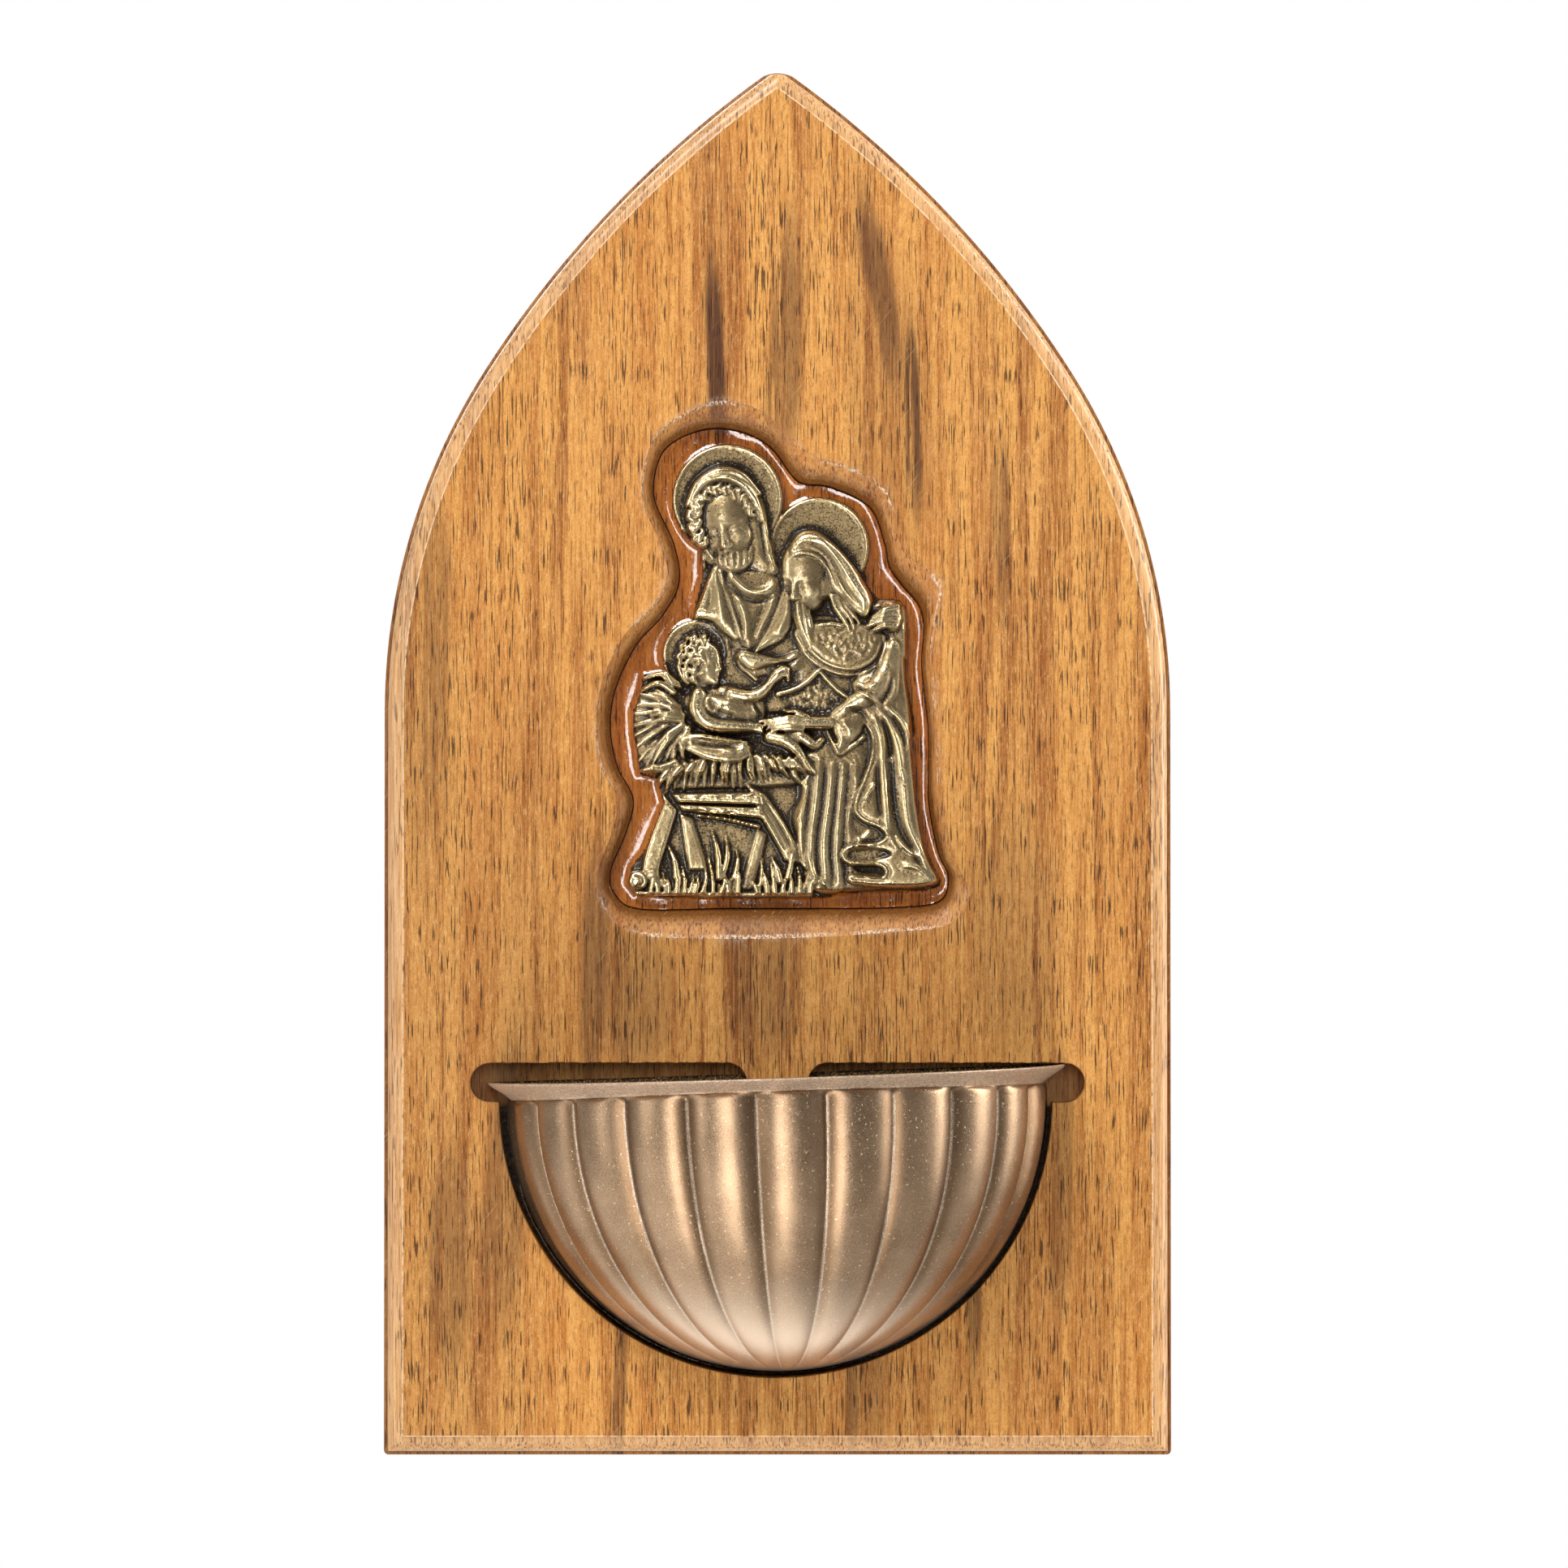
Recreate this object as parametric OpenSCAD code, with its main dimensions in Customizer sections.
// Wall-hung holy-water font: a pointed-arch wooden plaque, a cast relief laid in a
// routed recess, and a fluted half bowl glued into a routed pocket.
// Millimetres. +Z is up, the front faces -Y, and the wall plane is y = 0.
// The origin is the centre of the plaque's back face.

/* [Plaque] */
// Width of the plaque
plaque_w = 120; // [116:1:130]
// Thickness of the plaque
plaque_t = 18; // [17:0.5:24]
// Height at which the straight sides turn into the arch
spring_h = 113.3; // [112:0.5:125]
// Radius of the arch above the springing
haunch_r = 97; // [94:0.5:100]
// Radius of the upper part of the arch
upper_r = 165; // [162:0.5:168]
// Plan radius of the arch's tip
tip_r = 5.2; // [5:0.1:6]
// Radius of the rounded front edge
edge_r = 2.3; // [1.5:0.1:2.6]
// Width of the small step at the foot of the rounded edge
edge_step = 0.55; // [0.3:0.05:0.8]

/* [Relief] */
// Thickness of the relief's backing plate
plate_t = 2.2; // [1.6:0.1:2.6]
// Depth of the recess that holds the relief
recess_d = 4.5; // [4:0.1:5.5]
// Gap between the relief and the recess floor's edge
recess_gap = 2.5; // [2:0.1:3]
// How much wider the recess is at the plaque's face
recess_flare = 1.9; // [1:0.1:2.4]
// Height of the relief's foot above the plaque's foot
relief_h = 84.8; // [84:0.2:88]

/* [Bowl] */
// Outer radius of the bowl's body
bowl_r = 41.4; // [38:0.2:41.6]
// Thickness of the bowl's metal at a valley
bowl_wall = 1.1; // [1:0.1:1.8]
// Depth of the valleys between the flutes
flute_depth = 1.5; // [0.6:0.1:1.8]
// Flutes in a full circle
flute_count = 24; // [20:1:30]
// Height of the bowl's widest level above the plaque's foot
bowl_h = 54; // [53:0.2:56]
// Outer radius of the flared lip
lip_r = 44.2; // [43.6:0.1:44.6]
// Roll of the bowl as it is glued in, right end up
bowl_roll = 1.85; // [0:0.05:1.85]
// Depth of the pocket that holds the bowl
pocket_d = 6; // [5:0.5:8]

/* [Hanger] */
// Height of the ring's pivot above the plaque's foot
pivot_h = 178; // [176:1:180]
// Wire diameter of the ring
ring_wire = 1.8; // [1.6:0.1:2]
// Inside width of the ring
ring_in_w = 16.2; // [15:0.2:17]
// Width of the strap
strap_w = 11; // [9:0.5:12]

/* [Hidden] */
$fn = 96;
big = 400;

// The arch: two arcs a side that meet on one line through both centres, so that they
// are tangent there. The line's slope has whole ratios, which keeps the centres exact.
haunch_dir = [0.8432, 0.5376];
half_w = plaque_w / 2;
haunch_c = [half_w - haunch_r, spring_h];
upper_c = haunch_c + (haunch_r - upper_r) * haunch_dir;
point_h = upper_c[1] + sqrt(upper_r * upper_r - upper_c[0] * upper_c[0]);
tip_cut = 1.1;
tip_c = [0, point_h - tip_cut - tip_r];
tip_deg = atan2(tip_c[1] - upper_c[1], -upper_c[0]);
plaque_h = point_h - tip_cut;
foot_z = -plaque_h / 2;
arris = 0.25;
shoulder_t = plaque_t - arris - edge_r - 0.4;

// The relief's outline, up from its foot: the right side, the foot and the left side.
relief_outline = [
    [14.1, 53.6], [13.3, 50], [13.7, 47.8], [15.1, 45.8], [18.7, 45.5], [19.6, 44.2],
    [19.8, 40.5], [19.6, 33.8], [20.8, 27.3], [21, 25.1], [20.2, 24], [20.6, 19.7],
    [21.1, 14.6], [21.8, 10.2], [22.4, 8.1], [23.8, 4.8], [24.9, 2.6], [24.6, 1.8],
    [22.7, 1.3], [12.9, 1], [9.3, 0.8], [7.5, 0.1], [-5.2, 0], [-21.5, 0.4],
    [-22.9, 2.3], [-22.2, 4.8], [-20.4, 7], [-17.2, 14.6], [-18.4, 18.2], [-21, 18.9],
    [-21.5, 22.6], [-22, 25.1], [-22, 28.4], [-21.1, 30.9], [-20.4, 34.2], [-17, 34.7],
    [-12.5, 37.2], [-13, 42.7], [-11.4, 48.9], [-11.5, 53.2], [-3, 57], [6.4, 53.6]
];
// Each halo: centre x, height above the relief's foot, radius.
father_halo = [-7.6, 60.85, 8.5];
mother_halo = [6.45, 53.6, 7.65];
child_halo = [-12.3, 37.2, 5.3];
halo_inset = 0.2;
resin_film = 0.2;
resin_t = 0.8;
resin_room = 0.05;
relief_rise = 0.6;
recess_y = -plaque_t + recess_d;
relief_back_y = recess_y - resin_film;
plate_y = relief_back_y - plate_t;
recess_steps = 5;

// The bowl, in its own frame: y = 0 is its back, z = 0 its widest level.
glue_t = 0.4;
pocket_y = -plaque_t + pocket_d;
bowl_y = pocket_y - glue_t;
pocket_r = 42.1;
pocket_x = -0.3;
tongue_z = 2.7;
slot_h = 6;
slot_z = 2.7;
slot_out = 46.8;
tongue_half = 4.65;
neck_z = 0.8;
lip_z = 4.1;
lip_edge = 0.4;
lip_wall = 1.1;
bowl_in_r = bowl_r - flute_depth - bowl_wall;
valley_deg = -4.5;
back_t = 1.4;
notch_half = 5.2;
notch_z = 2;
bead_room = 0.02;
bead_t = 1.8;

// The hanger, in its own frame: the pivot is at z = 0, the pocket's floor at y = 0.
hang_d = 4;
hang_half = 13;
hang_up = 17.5;
hang_down = 25;
hang_corner = 3;
leaf_t = 0.8;
leaf_gap = 0.1;
strap_down = 22;
wire_r = ring_wire / 2;
loop_room = 0.05;
loop_in = wire_r + loop_room;
loop_out = loop_in + leaf_t;
ring_r = ring_in_w / 2 + wire_r;
ring_corner = 2.5;
ring_side = 1.5;
screw_drops = [7, 16];
screw_r = 1.25;
screw_len = 8;
head_r = 2.6;
head_t = 1.1;
head_dome_r = 3.6;
screw_point = 1.6;
strap_hole_r = 1.5;
strap_face_y = -hang_d + 2 * leaf_t + leaf_gap;

module above_foot(h) {
    translate([0, 0, foot_z + h]) children();
}

// Stands a shape drawn in x and y up in x and z, from y = near forward by t.
module stand(t, near = 0) {
    translate([0, near, 0]) rotate([90, 0, 0]) linear_extrude(height = t) children();
}

// ---- plaque board ----

// Section of the plaque, from a line r inside its side out to the moulded edge.
module edge_section(r) {
    difference() {
        square([r, plaque_t]);
        translate([r - edge_step - edge_r, plaque_t - arris]) square([big, big]);
        translate([r - edge_step - edge_r, plaque_t - arris - edge_r]) difference() {
            square([big, big]);
            circle(r = edge_r);
        }
        translate([r - edge_step, shoulder_t]) square([big, big]);
    }
}

// A disc of the plaque about an arc's centre, cut to the wedge between two directions.
module moulded_wedge(centre, r, from, to) {
    translate([centre[0], 0, centre[1]]) intersection() {
        rotate([90, 0, 0]) rotate_extrude($fn = 240) edge_section(r);
        stand(plaque_t) polygon([[0, 0], big * from, big * to]);
    }
}

// The two wedges share one radial face and cover one side of the arch.
module arch_half() {
    intersection() {
        union() {
            moulded_wedge(haunch_c, haunch_r, [1, 0], haunch_dir);
            moulded_wedge(upper_c, upper_r, haunch_dir, [0.4, 1]);
        }
        translate([0, -big, 0]) cube([big, 2 * big, big]);
    }
}

// What is cut from the point of the arch to leave its rounded tip.
module tip_trim() {
    stand(plaque_t + 2, 1) translate(tip_c) difference() {
        polygon([[0, 0], 20 * [cos(tip_deg), sin(tip_deg)], 20 * [-cos(tip_deg), sin(tip_deg)]]);
        circle(r = tip_r);
    }
}

// The straight part, where the side edges and the foot's edge meet in mitres.
module straight_part() {
    intersection() {
        linear_extrude(height = spring_h) rotate([0, 0, 180]) {
            edge_section(half_w);
            mirror([1, 0]) edge_section(half_w);
        }
        translate([-half_w, 0, spring_h]) rotate([0, 90, 0])
            linear_extrude(height = plaque_w) mirror([0, 1]) edge_section(spring_h);
    }
}

// A half disc for the bowl's body, and a slot a side for the ends of its lip.
module bowl_pocket() {
    stand(pocket_d + 1, pocket_y) translate([0, bowl_h]) {
        intersection() {
            translate([pocket_x, 0]) circle(r = pocket_r);
            translate([-big, tongue_z - 2 * big]) square([2 * big, 2 * big]);
        }
        for (side = [-1, 1]) {
            for (x = [tongue_half + slot_h / 2, slot_out - slot_h / 2])
                translate([side * x, slot_z]) circle(r = slot_h / 2);
            translate([side * (tongue_half + slot_out) / 2, slot_z])
                square([slot_out - tongue_half - slot_h, slot_h], center = true);
        }
    }
}

// The recess follows the relief's outline, and its wall flares towards the face.
module relief_recess() {
    for (i = [0 : recess_steps - 1]) {
        rise = i / recess_steps;
        room = recess_gap + recess_flare * (1 - sqrt(1 - rise * rise));
        stand(recess_d * (1 - rise) + 1, recess_y - recess_d * rise)
            offset(r = room, $fn = 32) relief_plan();
    }
}

// The pocket in the back that lets the hanger lie below the wall face.
module hanger_pocket() {
    stand(hang_d + 1, 1) translate([0, pivot_h]) {
        translate([0, hang_up - hang_half]) circle(r = hang_half);
        translate([-hang_half, hang_corner - hang_down])
            square([2 * hang_half, hang_up - hang_half + hang_down - hang_corner]);
        translate([hang_corner - hang_half, -hang_down])
            square([2 * (hang_half - hang_corner), hang_corner + 1]);
        for (side = [-1, 1])
            translate([side * (hang_half - hang_corner), hang_corner - hang_down])
                circle(r = hang_corner);
    }
}

module plaque_board() {
    color("#b8773a") above_foot(0) difference() {
        union() {
            straight_part();
            arch_half();
            mirror([1, 0, 0]) arch_half();
        }
        tip_trim();
        bowl_pocket();
        translate([0, 0, relief_h]) relief_recess();
        hanger_pocket();
        screw_shanks();
    }
}

// ---- family relief ----

module relief_plan() {
    polygon(relief_outline);
    for (halo = [father_halo, mother_halo, child_halo])
        translate([halo[0], halo[1]]) circle(r = halo[2]);
}

// A rounded limb or fold between two points, each [x, height, rise above the plate].
module limb(p, q, r, s) {
    hull() {
        translate([p[0], -p[2], p[1]]) sphere(r = r, $fn = 10);
        translate([q[0], -q[2], q[1]]) sphere(r = s, $fn = 10);
    }
}

// Limbs one after another through a list of points.
module chain(points, r) {
    for (i = [0 : len(points) - 2]) limb(points[i], points[i + 1], r, r);
}

module halo_rim(halo) {
    translate([halo[0], 0, halo[1]]) rotate([90, 0, 0]) translate([0, 0, -0.5]) difference() {
        cylinder(r = halo[2] - halo_inset, h = 0.7 + halo[2] / 10, $fn = 48);
        translate([0, 0, halo[2] / 10]) cylinder(r = halo[2] - 0.9, h = 1, $fn = 48);
    }
}

module father() {
    limb([-7.6, 60.2, 1.2], [-6.4, 54.2, 2.6], 4, 2.8);
    chain([[-12, 56, 0.4], [-11, 61.5, 0.8], [-7, 64, 1], [-3.2, 60.5, 0.8]], 1.3);
    limb([-5, 43.5, -1], [-4, 34, -1], 6, 6);
    limb([-10, 48.5, 0], [-9.4, 39, 0.4], 2.4, 2.4);
    limb([-1.5, 46, 1.4], [-4, 37.5, 1.6], 2, 1.2);
    limb([16.5, 42.7, 1], [14.2, 40.4, 2], 1.9, 1.2);
}

module mother() {
    limb([5.8, 51.2, 1.6], [4, 46.6, 2.8], 3.6, 2.5);
    chain([[5.8, 54.4, 0.6], [10.4, 51, 0.8], [13, 45.4, 0.4]], 2);
    limb([5.5, 39.5, 0], [14, 38.5, 0], 4.4, 4.6);
    limb([15.8, 34, 0.6], [13.2, 27.6, 1.4], 3.4, 2.8);
    limb([13.2, 27.6, 1.4], [6.6, 26.4, 1.8], 2.8, 2);
    limb([6.6, 26.4, 1.8], [-1, 26.8, 2], 1.3, 1);
    limb([10.5, 22, -1.6], [10, 6.4, -1.6], 6, 6);
    chain([[17.4, 28, 0.2], [17.6, 14, 0.4], [21.4, 4.4, 0.2]], 2.2);
    for (x = [4.4, 6.6, 8.8]) limb([x + 0.8, 20, 2.2], [x, 1.8, 1.8], 0.8, 1);
}

module child() {
    limb([-11.8, 36, 1.2], [-11, 35.4, 1.5], 3.4, 3);
    limb([-10.4, 30.8, 1.4], [-4.4, 28.2, 1.6], 2.5, 2.2);
    chain([[-5, 30.6, 1.8], [-1.6, 31.4, 2.2], [0.8, 34.4, 2.4]], 1.1);
    chain([[-11.6, 29.6, 2.4], [-9.8, 26, 2.8], [-3.4, 25.8, 2.8]], 1.2);
    limb([-13, 22.8, 1.2], [-5, 21.8, 1.4], 2.4, 2);
    limb([-4, 23.6, 1.2], [4.6, 23.6, 1.4], 1.4, 1);
}

// A straw or a blade of grass: a flat tapered strip from a root, leaning to one side.
module blade(x, z, lean, length, rise) {
    translate([x, 0.5, z]) rotate([0, lean, 0]) rotate([90, 0, 0])
        linear_extrude(height = rise + 0.5) polygon([[-0.5, 0], [0.5, 0], [0, length]]);
}

module manger() {
    for (i = [0 : 8]) blade(-13.5, 25.5 - i * 0.3, -55 - i * 11, 7.5, 1.2 + 0.07 * i);
    for (i = [0 : 12]) blade(-14.5 + i * 1.5, 20.6, 168 + i * 2, 5, 1.1 + 0.06 * i);
    limb([-15.2, 14.2, 1.4], [-3, 12.8, 1.4], 1.4, 1.4);
    limb([-17, 15, 1], [-20.6, 4, 1], 1.3, 1.3);
    limb([-14, 12.4, 0.6], [-12.4, 6, 0.6], 1.1, 1.1);
    limb([-4.6, 16.6, 1], [2.8, 5.4, 1], 1.3, 1.3);
    limb([-3, 9.6, 0.6], [-5, 2, 0.6], 1.1, 1.1);
    for (i = [0 : 11]) blade(-20 + i * 2.1, 0.8, sin(i * 100) * 22, 4.6 + 2 * sin(i * 70), 1 + 0.05 * i);
}

module family_relief() {
    color("#8d7440") above_foot(relief_h) translate([0, plate_y, 0]) {
        stand(plate_t, plate_t) relief_plan();
        intersection() {
            scale([1, relief_rise, 1]) {
                for (halo = [father_halo, mother_halo, child_halo]) halo_rim(halo);
                father();
                mother();
                child();
                manger();
            }
            stand(big, plate_t / 2) offset(delta = -halo_inset / 2) relief_plan();
        }
    }
}

// Clear resin poured round the relief: a film under it and a pool beside it.
module relief_resin_bed() {
    color("#a85f22") above_foot(relief_h) difference() {
        stand(resin_t, recess_y) offset(r = recess_gap - resin_room, $fn = 32) relief_plan();
        stand(resin_t, recess_y - resin_film) relief_plan();
    }
}

// ---- holy water bowl ----

// How far the surface drops at an angle round the bowl: nothing on a crest.
function flute_drop(angle) =
    let (turns = (angle - valley_deg) * flute_count / 360, u = 2 * (turns - floor(turns)) - 1)
    flute_depth * u * u;

// The outer section, [radius, height, share of the flute], from the pole to the lip.
bowl_rows = concat(
    [for (i = [0 : 12]) let (a = i * 7.5) [bowl_r * sin(a), -bowl_r * cos(a), sin(a)]],
    [[bowl_r, neck_z, 0.6], [lip_r, lip_z - lip_edge, 0], [lip_r, lip_z, 0]]
);
bowl_cols = 120;

function bowl_point(row, col) =
    let (
        angle = -90 + 180 * col / bowl_cols,
        r = row[0] - row[2] * flute_drop(angle)
    )
    [r * sin(angle), -r * cos(angle), row[1]];

// The solid fluted form, flat at its back and its top.
module fluted_form() {
    rows = len(bowl_rows);
    cols = bowl_cols + 1;
    points = concat(
        [[0, 0, -bowl_r]],
        [for (i = [1 : rows - 1]) for (j = [0 : bowl_cols]) bowl_point(bowl_rows[i], j)]
    );
    tip_faces = [for (j = [0 : bowl_cols - 1]) [0, 1 + j, 2 + j]];
    side_faces = [
        for (i = [0 : rows - 3]) for (j = [0 : bowl_cols - 1])
            let (a = 1 + i * cols + j, b = a + cols)
            each [[a, b, a + 1], [a + 1, b, b + 1]]
    ];
    top_face = [for (j = [bowl_cols : -1 : 0]) 1 + (rows - 2) * cols + j];
    back_face = concat(
        [0],
        [for (i = [0 : rows - 2]) 1 + i * cols + bowl_cols],
        [for (i = [rows - 2 : -1 : 0]) 1 + i * cols]
    );
    polyhedron(points, concat(tip_faces, side_faces, [top_face, back_face]));
}

// The hollow: a quarter ball below a flared throat, short of the back by the back wall.
module bowl_hollow() {
    intersection() {
        rotate([0, 0, 180]) rotate_extrude(angle = 180) intersection() {
            union() {
                circle(r = bowl_in_r);
                polygon([
                    [0, 0], [bowl_in_r, 0], [bowl_in_r, neck_z],
                    [lip_r - lip_wall, lip_z], [lip_r - lip_wall, lip_z + 1], [0, lip_z + 1]
                ]);
            }
            translate([0, -big]) square([big, 2 * big]);
        }
        translate([-big, -2 * big - back_t, -big]) cube([2 * big, 2 * big, 2 * big]);
    }
}

module holy_water_bowl() {
    color("#a98a6c") above_foot(bowl_h) translate([0, bowl_y, 0]) rotate([0, -bowl_roll, 0])
        difference() {
            fluted_form();
            bowl_hollow();
            translate([-notch_half, -back_t - 1, notch_z]) cube([2 * notch_half, back_t + 2, big]);
        }
}

// Adhesive: a coat behind the bowl, and the bead pressed out into the gap at the lower left.
module bowl_adhesive() {
    color("#3a2a1c") above_foot(bowl_h) {
        stand(glue_t, pocket_y) intersection() {
            glue_plan();
            translate([-big, -2 * big - 1]) square([2 * big, 2 * big]);
        }
        stand(bead_t, pocket_y) difference() {
            glue_plan();
            circle(r = bowl_r + bead_room);
            translate([-big, -12]) square([2 * big, big]);
            translate([14, -big]) square([big, 2 * big]);
        }
    }
}

module glue_plan() {
    translate([pocket_x, 0]) circle(r = pocket_r - bead_room);
}

// ---- hanger ----

module at_pivot() {
    above_foot(pivot_h) translate([0, -hang_d, 0]) children();
}

// The strap's section: two leaves pressed together below a loop that holds the wire.
module strap_section() {
    difference() {
        union() {
            translate([loop_out, 0]) circle(r = loop_out);
            translate([0, -strap_down]) square([leaf_t, strap_down]);
            translate([leaf_t + leaf_gap, -strap_down]) square([leaf_t, strap_down]);
        }
        translate([loop_out, 0]) circle(r = loop_in);
        translate([leaf_t, -strap_down - 1]) square([leaf_gap, strap_down + 1 - wire_r / 3]);
    }
}

module hanger_strap() {
    color("#c9b37c") at_pivot() difference() {
        intersection() {
            rotate([90, 0, 90]) linear_extrude(height = strap_w, center = true) strap_section();
            stand(big, big / 2) {
                translate([0, strap_w / 2 - strap_down]) circle(r = strap_w / 2);
                translate([-strap_w / 2, strap_w / 2 - strap_down]) square([strap_w, strap_down]);
            }
        }
        for (drop = screw_drops)
            translate([0, big / 2, -drop]) rotate([90, 0, 0]) cylinder(r = strap_hole_r, h = big);
    }
}

// A D-shaped ring of round wire, standing up from the bar that turns in the loop.
module hanger_ring() {
    bar_half = ring_r - ring_corner;
    arc_z = ring_corner + ring_side;
    color("#c9b37c") at_pivot() translate([0, loop_out, 0]) {
        translate([-bar_half, 0, 0]) rotate([0, 90, 0]) cylinder(r = wire_r, h = 2 * bar_half);
        for (side = [0, 1]) mirror([side, 0, 0]) {
            translate([bar_half, 0, ring_corner]) rotate([90, 0, 0]) rotate([0, 0, -90])
                rotate_extrude(angle = 90) translate([ring_corner, 0]) circle(r = wire_r);
            translate([ring_r, 0, ring_corner]) cylinder(r = wire_r, h = ring_side);
        }
        translate([0, 0, arc_z]) rotate([90, 0, 0])
            rotate_extrude(angle = 180) translate([ring_r, 0]) circle(r = wire_r);
    }
}

// The shanks alone, which are also the pilot holes in the board.
module screw_shanks() {
    for (drop = screw_drops)
        translate([0, strap_face_y, pivot_h - drop]) rotate([90, 0, 0]) {
            cylinder(r = screw_r, h = screw_len - screw_point);
            translate([0, 0, screw_len - screw_point])
                cylinder(r1 = screw_r, r2 = 0.2, h = screw_point);
        }
}

module hanger_screws() {
    color("#d0bd8a") above_foot(0) {
        screw_shanks();
        for (drop = screw_drops) translate([0, strap_face_y, pivot_h - drop]) rotate([-90, 0, 0])
            difference() {
                intersection() {
                    cylinder(r = head_r, h = head_t);
                    translate([0, 0, head_t - head_dome_r]) sphere(r = head_dome_r);
                }
                for (turn = [0, 90]) rotate([0, 0, turn])
                    translate([-1.4, -0.3, 0.5]) cube([2.8, 0.6, head_t]);
            }
    }
}

plaque_board();
family_relief();
relief_resin_bed();
holy_water_bowl();
bowl_adhesive();
hanger_strap();
hanger_ring();
hanger_screws();
